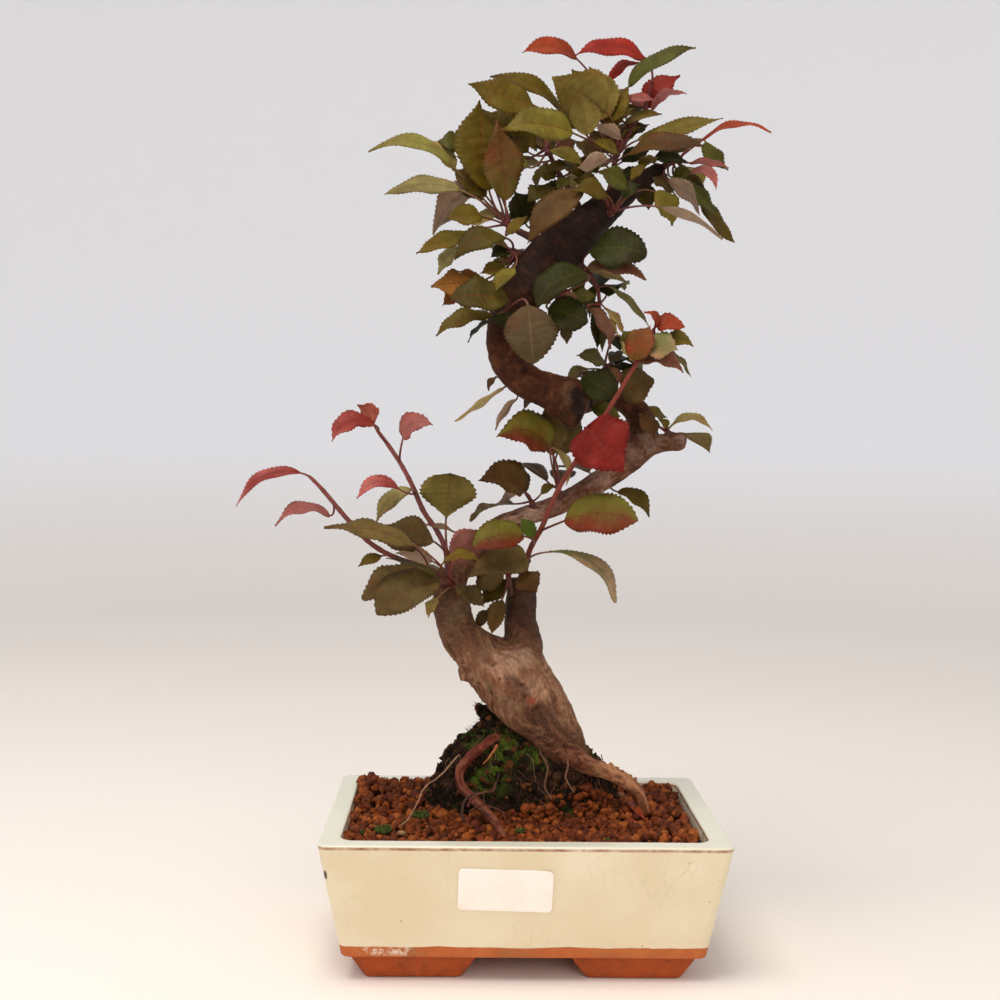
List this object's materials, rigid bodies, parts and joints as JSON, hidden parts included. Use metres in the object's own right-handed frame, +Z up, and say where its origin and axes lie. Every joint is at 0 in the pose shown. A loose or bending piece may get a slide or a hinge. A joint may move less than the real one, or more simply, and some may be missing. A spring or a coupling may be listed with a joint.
{
  "type": "potted bonsai tree",
  "caption": "Apple bonsai with an S-shaped trunk, exposed roots and toothed olive to red leaves, in a rectangular cream glazed pot on feet.",
  "frame": {"origin": "middle of the bottom of the whole plant's box, on the plane of the pot's feet", "axes": "+Z up; X along the pot's long side, +X to the right seen from the front; the front looks towards -Y"},
  "size_m": [0.2992, 0.1546, 0.5249],
  "materials": {
    "glazed_stoneware": "cream crackle glaze over stoneware, bare terracotta foot",
    "paper": "blank satin label paper",
    "screen_plastic": "moulded black plastic",
    "clay_granules": "matt fired clay granules",
    "moss_and_roots": "matt moss and root fibre",
    "bark": "rough grey-brown bark",
    "leaf_olive": "satin leaf",
    "leaf_dark_green": "satin leaf",
    "leaf_brown": "satin leaf",
    "leaf_red": "satin young leaf and shoot",
    "leaf_orange": "satin young leaf and shoot"
  },
  "bodies": {
    "root": {"drain_screen_left": "screen_plastic", "drain_screen_right": "screen_plastic", "pot": "glazed_stoneware", "root_ball": "moss_and_roots", "soil": "clay_granules", "spray_branch_fan": "leaf_brown", "spray_branch_right": "leaf_olive", "spray_crown_left": "leaf_dark_green", "spray_crown_middle": "leaf_olive", "spray_crown_right": "leaf_olive", "spray_crown_top": "leaf_olive", "spray_elbow_right": "leaf_dark_green", "spray_inner_shoot": "leaf_red", "spray_left_fork_back": "leaf_olive", "spray_left_fork_spur": "leaf_olive", "spray_long_shoot": "leaf_orange", "spray_low_branch_spur": "leaf_brown", "spray_middle_left": "leaf_brown", "spray_outer_shoot": "leaf_red", "spray_right_fork_spur": "leaf_olive", "spray_stub_spur": "leaf_olive", "spray_upper_left": "leaf_olive", "spray_waist_back": "leaf_dark_green", "spray_waist_front": "leaf_dark_green", "spray_waist_left": "leaf_olive", "spray_waist_low": "leaf_brown", "spray_waist_right": "leaf_dark_green", "sticker": "paper", "trunk": "bark"}
  },
  "joints": []
}
